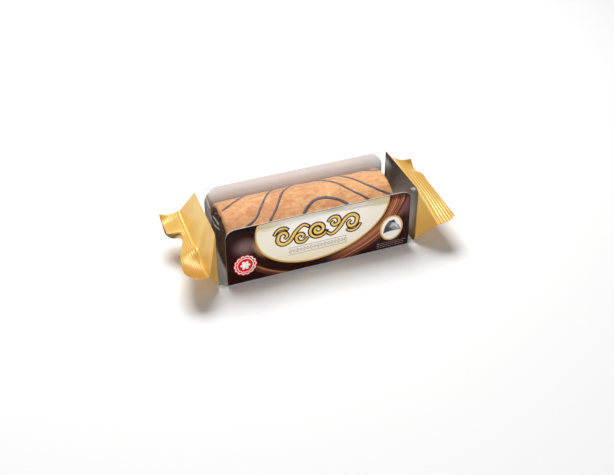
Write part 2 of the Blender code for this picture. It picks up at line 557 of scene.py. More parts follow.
def filling_finish():
    """Soft dark cream, whose colour and moist gloss change with one soft noise."""
    tint = settings().colours
    f = Finish("filling_cream", Specular_IOR_Level=0.4, Subsurface_Weight=0.05, Subsurface_Scale=0.001)
    wet = f.noise(150.0, 2.0)
    f.paint(f.blend(f.fade(wet, 0.35, 0.65), tint.filling, shaded(tint.filling, 1.35)))
    f.fill(f.shader, {"Roughness": f.calc("ADD", f.product(wet, 0.3), 0.25)})
    return f.material


def icing_finish():
    """Set dark icing: even colour, slightly bloomed in patches, soft gloss."""
    tint = settings().colours
    f = Finish("dark_icing", Specular_IOR_Level=0.35)
    bloom = f.noise(170.0, 3.0)
    f.paint(f.blend(f.fade(bloom, 0.40, 0.68), tint.icing, linear(120, 106, 112)))
    f.fill(f.shader, {"Roughness": f.calc("ADD", f.product(bloom, 0.35), 0.30)})
    f.bump(f.noise(700.0, 2.0), 0.0001, 0.4)
    return f.material


def gold_film_finish():
    """Satin gold film: warm yellow, deeper in soft patches, with a lacquer gloss over it."""
    tint = settings().colours
    f = Finish("gold_film", Metallic=0.12, Specular_IOR_Level=0.45, Coat_Weight=0.08, Coat_Roughness=0.22)
    broad = f.noise(26.0, 2.0)
    painted = f.layer(tint.gold_film, f.fade(broad, 0.40, 0.66), 0.7, linear(242, 190, 94))
    # Painted shade: deeper gold where the film faces forwards or down, near the front and on the fins
    painted = f.blend(f.attribute("painted_fold_shade"), painted, linear(196, 144, 56))
    # Painted shadow: a thin dark line along the upper film's cut edge in the notch, for the gap beneath it
    f.paint(f.blend(f.attribute("painted_gap_shadow"), painted, linear(70, 46, 26)))
    f.fill(f.shader, {"Roughness": f.calc("ADD", f.product(f.noise(90.0, 2.0), 0.14), 0.26)})
    f.bump(f.noise(160.0, 2.0), 0.00010, 0.15)
    return f.material


def film_inside_finish():
    """Inner face of the gold film: dull grey brown with a slight metallic sheen."""
    tint = settings().colours
    f = Finish("film_inside", Metallic=0.10, Roughness=0.5, Specular_IOR_Level=0.4)
    soft = f.noise(34.0, 2.0)
    painted = f.blend(f.fade(soft, 0.38, 0.66), tint.film_inside, shaded(tint.film_inside, 1.15))
    low_front = f.product(f.fade(f.axis("Y"), -0.010, -0.028), f.fade(f.axis("Z"), 0.068, 0.058))
    painted = f.blend(low_front, painted, linear(140, 112, 68))
    painted = f.blend(f.fade(f.calc("ABSOLUTE", f.axis("X")), 0.124, 0.134), painted, linear(206, 178, 126))
    f.paint(f.layer(painted, f.attribute("box_edge"), 0.85, linear(92, 66, 30)))
    return f.material


def clear_film_finish():
    """Clear film: nearly all see-through, with gloss at glancing angles and a painted white highlight along
    each crease.

    Its cover is the sum of Fresnel, a faint haze, a haze over the back half of the top, a painted shade under
    the overhanging ends and the crease attribute, which paints white highlights along the creases. The cover
    mixes clear with gloss.
    """
    f = Finish("clear_film", Roughness=0.12, Specular_IOR_Level=0.6)
    aside = f.calc("ABSOLUTE", f.axis("X"))
    # Painted shade: a dark grey film under the overhanging ends, where the floor below lies in the pack's
    # shadow
    under = f.product(f.fade(f.axis("Z"), 0.0045, 0.0015), f.fade(aside, 0.098, 0.101))
    f.paint(f.blend(under, (0.92, 0.91, 0.90), linear(128, 120, 112)))
    clear = f.add("ShaderNodeBsdfTransparent", Color=(0.995, 0.995, 0.99))
    edge_on = f.add("ShaderNodeFresnel", IOR=1.25).outputs[0]
    haze = f.product(f.fade(f.noise(18.0, 2.0), 0.45, 0.75), 0.01)
    behind = f.product(f.fade(f.axis("Y"), -0.002, 0.034), f.fade(f.axis("Z"), 0.0655, 0.0695))
    behind = f.product(behind, f.fade(aside, 0.101, 0.096))
    haze = f.calc("ADD", haze, f.product(behind, 0.46))
    cover = f.calc("ADD", f.product(edge_on, 0.12), f.calc("ADD", haze, 0.002))
    cover = f.calc("ADD", cover, f.product(under, 0.5))
    # Painted highlights: the crease attribute makes the film white along its creases
    cover = f.calc("ADD", cover, f.product(f.attribute("crease"), 0.8), clamp=True)
    mixed = f.add("ShaderNodeMixShader", Fac=cover)
    f.fill(mixed, {1: clear.outputs[0], 2: f.shader.outputs[0]})
    f.fill(f.output, {"Surface": mixed.outputs[0]})
    return f.material


# ---------------------------------------------------------------- the tray and its print

OVAL_MIDDLE = (0.0036, 0.0622)
PRINT_LIFT = 0.00005  # how far each layer of print stands from the one below it
PANEL_TOP_GAP = 0.0004  # bare card left between the print and the top edge
FINE_LINE = 0.00045  # width of the rules and the fine dashes
DASH_START, DASH_END, DASH_GAP = 0.0640, 0.0950, 0.0009
TRAY_COLUMNS = 41
FIELD_ROWS = 13
BADGE_HEIGHT = 1.04  # height of the badge as a share of its width
SCALLOP_DEPTH = 0.13  # depth of its scallops as a share of its radius


def panel_face(layer=0):
    """Y of the front panel's printed face, or of a layer of print on it."""
    return -settings().tray.width / 2 - layer * PRINT_LIFT


def on_panel(flat, layer):
    """Points given by x and z, laid on the front panel as one layer of its print."""
    flat = np.asarray(flat, float)
    return np.stack([flat[..., 0], np.full(flat.shape[:-1], panel_face(layer)), flat[..., 1]], -1)


def on_back(points, faces):
    """The same print on the back panel: mirrored through the middle plane, with its faces turned over."""
    return np.asarray(points) * (1.0, -1.0, 1.0), np.asarray(faces)[:, ::-1]


def build_tray():
    """A card carried along a U-shaped path: down the front, round two small folds and up the back.

    Each row of the grid is a line along X at one point of the path. The rows within a corner radius of a
    panel's top are shortened by the round corner, as (r - sqrt(r^2 - (r - d)^2)) for a depth d.
    """
    tray = settings().tray
    fold, rest = 0.0007, 0.0002  # radius of the folds, and the tray's height over the ground
    half = tray.width / 2

    def panel(corner):
        turn = np.linspace(np.pi / 2, 0.0, 17)
        height = tray.height - corner + corner * np.sin(turn)
        reach = tray.length / 2 - corner + corner * np.cos(turn)
        low = np.linspace(tray.height - corner, fold, 9)[1:]
        return np.concatenate([height, low]), np.concatenate([reach, np.full(len(low), tray.length / 2)])

    front_z, front_reach = panel(tray.front_corner)
    back_z, back_reach = panel(tray.back_corner)
    turn = np.linspace(0.0, np.pi / 2, 7)[1:-1]
    fold_y = -half + fold - fold * np.cos(turn)
    fold_z = fold - fold * np.sin(turn)
    base_y = np.linspace(-half + fold, half - fold, 9)
    front_y, back_y = np.full(len(front_z), -half), np.full(len(back_z), half)
    y = np.concatenate([front_y, fold_y, base_y, -fold_y[::-1], back_y])
    z = np.concatenate([front_z, fold_z, np.zeros(len(base_y)), fold_z[::-1], back_z[::-1]]) + rest
    base_reach = np.full(len(fold_y) * 2 + len(base_y), tray.length / 2)
    reach = np.concatenate([front_reach, base_reach, back_reach[::-1]])
    across = np.linspace(-1.0, 1.0, TRAY_COLUMNS)
    points = np.stack(np.broadcast_arrays(reach[:, None] * across, y[:, None], z[:, None]), -1)
    faces = grid_faces(len(y), TRAY_COLUMNS)[:, ::-1]
    row = np.repeat(np.arange(len(y) - 1), TRAY_COLUMNS - 1)
    base = (row >= len(front_z) + 2) & (row < len(y) - len(back_z) - 3)
    # Painted shade: a grey card on the inside of the tray's base, which lies in shade inside the film
    shaded_base_card = flat_print_finish("shaded_base_card", linear(188, 180, 170), linear(170, 160, 148))
    piece = make_piece("card_tray", points, faces, [printed_panel_finish(), card_finish(), shaded_base_card],
                       "printed_card", face_materials=base.astype(int), sharp=40)
    give_thickness(piece, tray.card, inner=1, rim=1)


def oval_columns():
    """The part of the oval below the panel's top edge, as columns: x, the lower outline and the upper one.

    The oval is turned by its tilt, so at each x its two heights solve a quadratic. Both are cut off at the
    top of the panel.
    """
    front, tray = settings().front, settings().tray
    a, b = front.oval_half_width, front.oval_half_height
    cos, sin = np.cos(front.oval_tilt), np.sin(front.oval_tilt)
    widest = np.sqrt((a * cos) ** 2 + (b * sin) ** 2)
    x = widest * np.sin(np.linspace(-np.pi / 2, np.pi / 2, 97)) * (1 - 1e-7)
    square = (sin / a) ** 2 + (cos / b) ** 2
    mixed = 2 * x * sin * cos * (1 / a**2 - 1 / b**2)
    rest = x**2 * ((cos / a) ** 2 + (sin / b) ** 2) - 1
    root = np.sqrt(np.maximum(mixed**2 - 4 * square * rest, 0.0))
    top = tray.height - PANEL_TOP_GAP
    low = np.minimum(OVAL_MIDDLE[1] + (-mixed - root) / (2 * square), top)
    high = np.minimum(OVAL_MIDDLE[1] + (-mixed + root) / (2 * square), top)
    keep = high - low > 1e-6
    return (x + OVAL_MIDDLE[0])[keep], low[keep], high[keep]


def build_oval():
    """The cream field of the oval, ruled between its lower and upper outline in each column."""
    x, low, high = oval_columns()
    share = np.linspace(0.0, 1.0, FIELD_ROWS)[None, :]
    z = low[:, None] + share * (high - low)[:, None]
    points = on_panel(np.stack(np.broadcast_arrays(x[:, None], z), -1), 2)
    faces = grid_faces(*z.shape)[:, ::-1]
    cream = cream_field_finish()
    make_piece("oval_field", points, faces, [cream], "cream_print")
    make_piece("oval_field_back", *on_back(points, faces), [cream], "cream_print")


def build_oval_rim():
    """The gold line round the oval, widest at its lower left, ending where the panel's top cuts it."""
    front, tray = settings().front, settings().tray
    turn = np.linspace(0.0, FULL_TURN, 361)[:-1]
    cos, sin = np.cos(front.oval_tilt), np.sin(front.oval_tilt)

    def outline(grow):
        u = (front.oval_half_width + grow) * np.cos(turn)
        v = (front.oval_half_height + grow) * np.sin(turn)
        return np.stack([OVAL_MIDDLE[0] + u * cos - v * sin, OVAL_MIDDLE[1] + u * sin + v * cos], -1)

    width = front.rim * (0.75 + 0.5 * bell(np.cos(turn - 4.1), 1.0, 0.9))[:, None]
    inner = outline(0.0)
    outward = outline(1.0) - inner
    outer = inner + width * outward / np.linalg.norm(outward, axis=1)[:, None]
    below = np.maximum(inner[:, 1], outer[:, 1]) < tray.height - PANEL_TOP_GAP
    start = int(np.argmax(below & ~np.roll(below, 1)))
    order = np.roll(np.arange(len(turn)), -start)
    order = order[below[order]]
    points = on_panel([inner[order], outer[order]], 3)
    faces = grid_faces(2, len(order))[:, ::-1]
    gold = gold_print_finish()
    make_piece("oval_rim", points, faces, [gold], "gold_print")
    make_piece("oval_rim_back", *on_back(points, faces), [gold], "gold_print")


def disc(middle, half_width, half_height, layer, scallops=0, depth=0.0, rings=6, count=96):
    """A round or scalloped plate of print: rings about a middle, whose radius ripples with the scallops."""
    turn = np.linspace(0.0, FULL_TURN, count, endpoint=False)
    ripple = 1.0 - depth * (1.0 - np.abs(np.cos(scallops * turn / 2.0))) if scallops else np.ones(count)
    share = np.linspace(0.02, 1.0, rings)[:, None]
    x = middle[0] + half_width * share * ripple * np.cos(turn)
    z = middle[1] + half_height * share * ripple * np.sin(turn)
    points = on_panel(np.stack([x, z], -1), layer).reshape(-1, 3)
    faces = [*grid_faces(rings, count, wrap_columns=True)[:, ::-1], list(range(count))]
    return points, faces


def ring(middle, half_width, half_height, width, layer, count=96):
    """A flat ring of print of one width."""
    turn = np.linspace(0.0, FULL_TURN, count, endpoint=False)
    round_turn = np.stack([np.cos(turn), np.sin(turn)], -1)
    inner = np.array(middle) + round_turn * (half_width - width, half_height - width)
    outer = np.array(middle) + round_turn * (half_width, half_height)
    faces = grid_faces(2, count, wrap_columns=True)[:, ::-1]
    return on_panel([inner, outer], layer).reshape(-1, 3), faces


def ribbon(path, width, layer):
    """A flat stroke along a path of x and z: each point is moved half the width to either side of it."""
    path = np.asarray(path, float)
    along = np.gradient(path, axis=0)
    along /= np.linalg.norm(along, axis=1)[:, None]
    side = np.stack([-along[:, 1], along[:, 0]], -1) * np.broadcast_to(width, len(path))[:, None] / 2
    points = on_panel([path + side, path - side], layer)
    return points.reshape(-1, 3), grid_faces(2, len(path))[:, ::-1]


def joined(parts):
    """Several arrays of points and faces as one."""
    points, faces, start = [], [], 0
    for p, f in parts:
        points.append(p)
        faces += [[start + int(i) for i in face] for face in f]
        start += len(p)
    return np.concatenate(points), faces


MEDALLION_MIDDLE = (0.0798, 0.0270)
MEDALLION_HALF = (0.0129, 0.0160)
CHOCOLATE_FACETS = (
    # outline of each facet as (across, up) in shares of the medallion's half sizes, and its lightness
    (((-0.66, -0.30), (-0.50, 0.25), (-0.16, 0.08), (-0.10, -0.22)), 0.08),
    (((-0.50, 0.25), (-0.22, 0.55), (0.02, 0.40), (-0.16, 0.08)), 0.20),
    (((-0.22, 0.55), (0.20, 0.60), (0.34, 0.34), (0.02, 0.40)), 0.05),
    (((-0.16, 0.08), (0.02, 0.40), (0.34, 0.34), (0.60, 0.10)), 0.62),
    (((-0.16, 0.08), (0.60, 0.10), (0.78, -0.26), (0.24, -0.22)), 0.36),
    (((-0.16, 0.08), (0.24, -0.22), (-0.10, -0.22)), 0.14),
    (((0.02, 0.26), (0.30, 0.24), (0.66, -0.12), (0.50, -0.10)), 0.92),
)


def chocolate_finish():
    """Broken chocolate, from nearly black to silver grey by the lightness stored on each facet."""
    f = Finish("chocolate_facets", Roughness=0.4, Specular_IOR_Level=0.2)
    light = f.calc("ADD", f.attribute("lightness"), f.product(f.noise(400.0, 2.0), 0.16))
    f.paint(f.blend(f.fade(light, 0.0, 1.05), linear(34, 28, 32), linear(206, 204, 208)))
    return f.material


def build_medallion():
    """A round picture: a gold ring, a white plate and a few flat facets of broken chocolate."""
    gold, white = gold_print_finish(), flat_print_finish("medallion_white", linear(246, 244, 240))
    points, faces = disc(MEDALLION_MIDDLE, *MEDALLION_HALF, 2)
    make_piece("medallion_plate", points, faces, [white], "cream_print")
    points, faces = ring(MEDALLION_MIDDLE, *MEDALLION_HALF, 0.0017, 3)
    make_piece("medallion_rim", points, faces, [gold], "gold_print")
    parts, light = [], []
    for number, (outline, lightness) in enumerate(CHOCOLATE_FACETS):
        flat = np.array(MEDALLION_MIDDLE) + 1.1 * np.array(outline) * MEDALLION_HALF
        parts.append((on_panel(flat, 3 + 0.1 * number), [list(range(len(flat)))[::-1]]))
        light += [lightness] * len(flat)
    points, faces = joined(parts)
    make_piece("chocolate_facets", points, faces, [chocolate_finish()], "drizzle",
               attributes={"lightness": light})


def spiral(middle, start, end, turns, first_angle, count=90):
    """A spiral whose radius grows evenly from start to end over its turns."""
    share = np.linspace(0.0, 1.0, count)
    angle = first_angle + FULL_TURN * turns * share
    radius = start + (end - start) * share
    return np.stack([middle[0] + radius * np.cos(angle), middle[1] + radius * np.sin(angle)], -1)


SCROLL_MIDDLE = (-0.0025, 0.0475)
SCROLL_STRETCH = (1.04, 1.25)
GROUND_WIDER = 0.0030  # how much wider the maroon under each stroke is


def scroll_strokes():
    """The strokes of a scroll ornament: a rolled spiral in the middle with two curled arms on each side."""
    middle = np.array(SCROLL_MIDDLE)
    strokes = [(spiral(middle, 0.0012, 0.0105, 1.9, 0.4), 0.0030)]
    for side in (-1.0, 1.0):
        def place(points):
            return middle + np.asarray(points) * side * SCROLL_STRETCH
        lower = smooth_path([(0.0085, -0.0048), (0.0150, -0.0078), (0.0225, -0.0030), (0.0290, 0.0052),
                             (0.0360, 0.0074), (0.0412, 0.0036), (0.0396, -0.0030), (0.0340, -0.0040),
                             (0.0318, -0.0002), (0.0348, 0.0022)], 120)
        upper = smooth_path([(0.0098, 0.0052), (0.0150, 0.0090), (0.0208, 0.0080), (0.0222, 0.0030),
                             (0.0180, 0.0006), (0.0148, 0.0030), (0.0168, 0.0052)], 90)
        tail = smooth_path([(0.0300, -0.0062), (0.0350, -0.0088), (0.0410, -0.0078), (0.0456, -0.0030)], 50)
        strokes += [(place(lower), 0.0031), (place(upper), 0.0027), (place(tail), 0.0022)]
    return strokes


def taper(count, least):
    """Full width along a stroke and least of it at both ends, along a sine."""
    return least + (1.0 - least) * np.sin(np.linspace(0.0, np.pi, count)) ** 0.6


def build_scroll():
    """The ornament on the oval: gold strokes on a broader maroon stroke that follows the same paths."""
    maroon = flat_print_finish("maroon_print", linear(64, 12, 18))
    gold = flat_print_finish("pale_gold_print", linear(238, 205, 112), linear(226, 186, 92))
    wide, narrow = [], []
    for number, (path, width) in enumerate(scroll_strokes()):
        wide.append(ribbon(path, taper(len(path), 0.7) * (width + GROUND_WIDER), 3 + 0.1 * number))
        narrow.append(ribbon(path[2:-2], taper(len(path) - 4, 0.4) * width, 4 + 0.1 * number))
    points, faces = joined(wide)
    make_piece("scroll_ground", points, faces, [maroon], "printed_card")
    points, faces = joined(narrow)
    make_piece("scroll_strokes", points, faces, [gold], "gold_print")


def build_rules():
    """Two fine rules with a row of small lozenges between them, and three rows of fine dashes."""
    grey = flat_print_finish("grey_print", linear(112, 104, 96))
    parts = [ribbon([(-0.0340, z), (0.0300, z)], FINE_LINE, 3) for z in (0.0312, 0.0222)]
    middle, half = 0.0267, 0.0013
    for number, x in enumerate(np.linspace(-0.0320, 0.0280, 17)):
        tall = 0.0019 if number % 2 else 0.0026
        left = (x - half, middle)
        corner = [left, (x, middle + tall), (x + half, middle), (x, middle - tall), left]
        parts += [ribbon(np.linspace(corner[i], corner[i + 1], 3), FINE_LINE, 3 + 0.1 * i) for i in range(4)]
    points, faces = joined(parts)
    make_piece("oval_rules", points, faces, [grey], "cream_print")
    pale = flat_print_finish("pale_brown_print", linear(196, 172, 166))
    random = np.random.default_rng(5)
    parts = []
    for z in (0.0086, 0.0062, 0.0038):
        x = DASH_START
        while x < DASH_END:
            dash = random.uniform(0.0012, 0.0042)
            parts.append(ribbon([(x, z), (x + dash, z)], FINE_LINE, 2))
            x += dash + DASH_GAP
    points, faces = joined(parts)
    make_piece("fine_dashes", points, faces, [pale], "printed_card")


BADGE_MIDDLE = (-0.0805, 0.0225)


def build_badge():
    """A plain rosette: scalloped plates of red, white and red, and a thin white ring round a white flower."""
    front = settings().front
    white = flat_print_finish("badge_white", linear(250, 246, 244))
    red = flat_print_finish("badge_red", settings().colours.red_print)
    size, count = front.badge, front.badge_points
    plates = (
        ("badge_edge", size, 2, red, "red_print"),
        ("badge_border", size - 0.0009, 3, white, "cream_print"),
        ("badge_field", size - 0.0021, 4, red, "red_print"),
    )
    for name, radius, layer, finish, slot in plates:
        high = radius * BADGE_HEIGHT
        points, faces = disc(BADGE_MIDDLE, radius, high, layer, count, SCALLOP_DEPTH, count=14 * count)
        make_piece(name, points, faces, [finish], slot)
    inside = size - 0.0040
    points, faces = joined([ring(BADGE_MIDDLE, inside, inside * BADGE_HEIGHT, 0.0008, 5),
                            disc(BADGE_MIDDLE, size * 0.42, size * 0.44, 5, 6, 0.45)])
    make_piece("badge_flower", points, faces, [white], "cream_print")


# ---------------------------------------------------------------- the cake


CAKE_BACKWARD = -0.0008
CAKE_POWER = 2.15  # 2 would be an ellipse, and more is squarer
CAKE_REST = 0.0006  # from the card's face to the lowest skin
ROLL_START = -0.62 * np.pi  # where the outer turn's edge lies, as an angle from +Y
SPONGE_TURNS = 2.95
WEDGE_TURN = FULL_TURN * 0.2  # over which the strip's first part thickens
DEPTH_PITCHES = 3.2  # pitches of the roll from its skin to its middle
X_ROWS = 97
END_ROUND = 0.0035  # radius of the skin's edge at both ends
FILLING_SETBACK = 0.0006  # of the filling at both ends


def cake_outline(angle):
    """The roll's section, a superellipse a little squarer than an oval, as y and z about its middle."""
    cake = settings().cake
    cos, sin = np.cos(angle), np.sin(angle)
    y = cake.half_width * np.sign(cos) * np.abs(cos) ** (2.0 / CAKE_POWER)
    z = cake.half_height * np.sign(sin) * np.abs(sin) ** (2.0 / CAKE_POWER)
    return y, z


def cake_middle_height():
    return settings().tray.card + CAKE_REST + settings().cake.half_height


def skin_relief(x, angle):
    """Broad dents and small swells of the roll's skin, in metres."""
    along = angle * settings().cake.half_width
    return 0.00055 * unevenness(x, along, 0.030, 11) + 0.00018 * unevenness(x, along, 0.007, 12)


def skin_point(x, angle, lift=0.0):
    """A point of the roll's skin, and as much again outwards as the lift."""
    y, z = cake_outline(angle)
    reach = np.hypot(y, z)
    grow = (reach + skin_relief(x, angle) + lift) / reach
    return np.stack([x, CAKE_BACKWARD + y * grow, cake_middle_height() + z * grow], -1)


def roll_depth(angle, side):
    """How deep below the skin the sponge strip's face lies after turning through angle: 0 outer, 1 inner.

    The strip starts as a wedge that thickens over its first part, and each later turn lies under the last
    with the filling between them.
    """
    cake = settings().cake
    pitch = cake.sponge + cake.filling

    def thickness(turned):
        return cake.sponge * (0.05 + 0.95 * smooth_step(turned, 0.0, WEDGE_TURN))

    depth = np.zeros_like(angle)
    for turn in (1, 2, 3):
        past = angle - FULL_TURN * turn
        gap = cake.filling * smooth_step(past, -0.5, 0.4)
        depth = depth + np.where(past > 0.0, thickness(past) + gap, 0.0)
    return (depth + side * thickness(angle)) / (pitch * DEPTH_PITCHES)


def coil_point(x, angle, depth):
    """A point inside the roll at a share of the way from its skin to its middle."""
    surface = skin_point(x, ROLL_START + angle)
    middle = np.stack([x, np.full_like(x, CAKE_BACKWARD), np.full_like(x, cake_middle_height())], -1)
    return middle + (surface - middle) * (1.0 - depth)[..., None]


def end_round(share, radius, span):
    """How far the skin is drawn in near the ends, as a quarter circle of that radius."""
    near = np.clip(radius - np.minimum(share, 1.0 - share) * span, 0.0, radius)
    return radius - np.sqrt(radius**2 - near**2)


def strip_faces(rows, columns):
    """The faces of a rolled strip and of its two ends, which join its outer outline to its inner one."""
    last = (rows - 1) * columns
    near = [(i, columns - 1 - i, columns - 2 - i, i + 1) for i in range(columns // 2 - 1)]
    far = [tuple(last + corner for corner in face[::-1]) for face in near]
    return [*grid_faces(rows, columns, wrap_columns=True), *near, *far], 2 * len(near)


def build_sponge():
    """A strip of sponge rolled up: its outline in section is carried along X.

    The outline runs along the strip's outer face and back along its inner face. The depth of both below the
    skin grows with the turns. Rows along X bunch at the ends, where the skin is drawn in by a round edge.
    """
    cake = settings().cake
    later = FULL_TURN * np.linspace(1.0, SPONGE_TURNS, 130)[1:]
    outer = np.concatenate([np.linspace(0.0, FULL_TURN, 181), later])
    angle = np.concatenate([outer, outer[::-1]])
    side = np.concatenate([np.zeros(len(outer)), np.ones(len(outer))])
    side[len(outer)] = 0.98
    even = np.linspace(0.0, 1.0, X_ROWS)
    share = 0.35 * (0.5 - 0.5 * np.cos(np.pi * even)) + 0.65 * even
    x = cake.middle + (share - 0.5) * cake.length
    grid_x, grid_angle, depth = np.broadcast_arrays(x[:, None], angle, roll_depth(angle, side))
    drawn = end_round(share, END_ROUND, cake.length)[:, None] / cake.half_width
    depth = depth + drawn * np.clip(1.0 - depth * 8.0, 0.0, 1.0)
    points = coil_point(grid_x, grid_angle, depth)
    ends = np.abs(share - 0.5)[:, None] * 2.0
    rough = unevenness(points[..., 1], points[..., 2], 0.012, 21)
    points[..., 0] += 0.0007 * rough * smooth_step(ends, 0.97, 1.0)
    rows, columns = depth.shape
    faces, end_count = strip_faces(rows, columns)
    crumb = np.zeros((rows - 1, columns), int)
    crumb[:, 182:] = 1  # all past the outer turn
    face_materials = np.concatenate([crumb.ravel(), np.ones(end_count, int)])
    make_piece("sponge_roll", points, faces, [sponge_skin_finish(), crumb_finish()], "sponge",
               face_materials=face_materials, attributes={"inward": depth}, sharp=60)


def build_filling():
    """The dark cream between the turns of sponge: a thinner strip rolled up with it, set back at the ends."""
    cake = settings().cake
    turned = FULL_TURN * np.linspace(0.02, SPONGE_TURNS - 1.0, 190)
    swell = 0.01  # how far the cream reaches into the sponge, as a share of the depth
    outer = roll_depth(turned, np.ones_like(turned)) - swell
    inner = roll_depth(turned + FULL_TURN, np.zeros_like(turned)) + swell
    angle = np.concatenate([turned, turned[::-1]])
    depth = np.concatenate([outer, inner[::-1]])
    x = cake.middle + np.linspace(-0.5, 0.5, 25) * (cake.length - 2.0 * FILLING_SETBACK)
    points = coil_point(*np.broadcast_arrays(x[:, None], angle, depth))
    faces, _ = strip_faces(len(x), len(angle))
    make_piece("filling_spiral", points, faces, [filling_finish()], "filling", sharp=60)


ICING_LINES = (
    # each line's route as (metres along X, degrees round from the back towards the top), and its width
    (((-0.0925, 91), (-0.0850, 86), (-0.0750, 77), (-0.0668, 65), (-0.0600, 48), (-0.0560, 28)), 1.0),
    (((-0.0905, 168), (-0.0820, 148), (-0.0735, 132), (-0.0660, 125), (-0.0595, 116), (-0.0530, 101),
      (-0.0435, 82), (-0.0370, 67), (-0.0310, 52), (-0.0270, 30)), 1.05),
    (((-0.0600, 165), (-0.0550, 148), (-0.0493, 132), (-0.0435, 120), (-0.0375, 108), (-0.0293, 89),
      (-0.0205, 71), (-0.0099, 55), (-0.0030, 38)), 1.05),
    (((-0.0215, 165), (-0.0180, 148), (-0.0130, 131), (-0.0060, 119.5), (0.0012, 112), (0.0086, 109.4),
      (0.0160, 111), (0.0224, 116), (0.0287, 122.5), (0.0350, 132), (0.0400, 146), (0.0430, 165)), 1.45),
    (((0.0030, 30), (0.0140, 52), (0.0240, 71), (0.0350, 90), (0.0456, 110), (0.0512, 119), (0.0587, 132),
      (0.0650, 148), (0.0690, 166)), 1.0),
    (((0.0290, 28), (0.0397, 50), (0.0458, 68.5), (0.0574, 94.5), (0.0644, 106.5), (0.0712, 117.5),
      (0.0774, 125), (0.0856, 133)), 1.05),
    (((0.0560, 34), (0.0676, 54), (0.0747, 67), (0.0855, 75)), 0.95),
)


ICING_LIFT, ICING_HALF_HEIGHT = 0.00012, 0.00052
BEAD_POINTS = 12


def unit(vectors):
    """Each vector of an array brought to length 1."""
    return vectors / np.linalg.norm(vectors, axis=-1)[..., None]


def icing_line(route, width):
    """A flattened bead along a route on the skin: an oval section square to the route, with pinched ends."""
    count, n = 110, BEAD_POINTS
    path = smooth_path(route, count)
    x, angle = path[:, 0], np.radians(path[:, 1])
    centre = skin_point(x, angle, ICING_LIFT)
    outward = unit(skin_point(x, angle, ICING_LIFT + 0.001) - centre)
    across = np.cross(unit(np.gradient(centre, axis=0)), outward)
    turn = np.linspace(0.0, FULL_TURN, n, endpoint=False)[None, :, None]
    pinch = np.sqrt(np.clip(1.0 - np.abs(np.linspace(-1.0, 1.0, count)) ** 14, 0.0, 1.0))
    vary = 1.0 + 0.16 * unevenness(path[:, 0], path[:, 1] * 0.0006, 0.012, 31)
    half = (0.5 * width * pinch * vary)[:, None, None]
    tall = (ICING_HALF_HEIGHT * pinch)[:, None, None]
    bead = (centre[:, None, :] + half * np.cos(turn) * across[:, None, :]
            + tall * np.sin(turn) * outward[:, None, :])
    rows = count - 2
    points = np.concatenate([bead[1:-1].reshape(-1, 3), centre[[0, -1]]])
    tips = [(rows * n, i, (i + 1) % n) for i in range(n)]
    tips += [(rows * n + 1, (rows - 1) * n + (i + 1) % n, (rows - 1) * n + i) for i in range(n)]
    return points, [*grid_faces(rows, n, wrap_columns=True)[:, ::-1], *tips]


def build_icing():
    """Seven lines of dark icing trailed over the top of the roll."""
    width = settings().cake.icing_width
    points, faces = joined([icing_line(route, width * share) for route, share in ICING_LINES])
    make_piece("icing_lines", points, faces, [icing_finish()], "drizzle")


# ---------------------------------------------------------------- the film

SIDE_POINTS = 12
ROW_POINTS = 75
END_CORNER = 0.006  # radius of the film's front corners past the tray
BACK_CORNER = 0.0020  # and of its back corners there
TRAY_CORNER = 0.0012  # radius of all its corners along the tray
END_SINK = 0.0012  # how far it falls in past the tray, above and below
SIDE_LIMIT = 0.099  # along the pack, where its sections come closer together
PLEAT_RISE = 0.0008


def box_section(x, width, low, high, front_radius, back_radius):
    """A round-cornered rectangle across the pack: front side, top row, back side, then base row."""
    quarter = np.linspace(0.0, np.pi / 2, SIDE_POINTS // 2)

    def side(radius):
        inset = width / 2 - radius
        lower = np.stack([-inset - radius * np.sin(quarter), low + radius - radius * np.cos(quarter)], 1)
        upper = np.stack([-inset - radius * np.cos(quarter), high - radius + radius * np.sin(quarter)], 1)
        return np.concatenate([lower, upper])

    front = side(front_radius)
    back = side(back_radius)[::-1] * (-1.0, 1.0)
    row = np.linspace(front_radius - width / 2, width / 2 - back_radius, ROW_POINTS)[1:-1]
    top = np.stack([row, np.full_like(row, high)], 1)
    base = np.stack([row[::-1], np.full_like(row, low)], 1)
    flat = np.concatenate([front, top, back, base])
    return np.column_stack([np.full(len(flat), x), flat])


def film_section(x):
    """The film round the tray at x, falling in and rounding off past the tray's ends."""
    film, tray = settings().film, settings().tray
    loose = float(smooth_step(np.abs(x), tray.length / 2, tray.length / 2 + 0.008))
    return box_section(x, film.width, END_SINK * loose, film.height - END_SINK * loose,
                       TRAY_CORNER + loose * (END_CORNER - TRAY_CORNER),
                       TRAY_CORNER + loose * (BACK_CORNER - TRAY_CORNER))


def film_box_end(end):
    """The film's section where the clear part gives way to the gold, leaning a little from front to back."""
    section = film_section(end["side"] * end["box_reach"])
    section[:, 0] -= end["side"] * end["box_lean"] * section[:, 1] / (settings().film.width / 2)
    return section


def crease_lines(x, y, z):
    """Raised creases in the clear film, each a narrow ridge about a straight line that fades at its ends."""
    film = settings().film
    total = np.zeros_like(x)
    sides = ((TOP_CREASES, y, z > film.height - 0.007), (FRONT_CREASES, z, y < -film.width / 2 + 0.004))
    for creases, other, near in sides:
        for (x1, o1), (x2, o2), width, strength in creases:
            run = np.hypot(x2 - x1, o2 - o1)
            along = ((x - x1) * (x2 - x1) + (other - o1) * (o2 - o1)) / run
            off = ((x - x1) * (o2 - o1) - (other - o1) * (x2 - x1)) / run
            ends = smooth_step(along, 0.0, 0.3 * run) * smooth_step(run - along, 0.0, 0.3 * run)
            total = total + strength * near * bell(off, 0.0, width) * ends
    return np.clip(total, 0.0, 1.0)


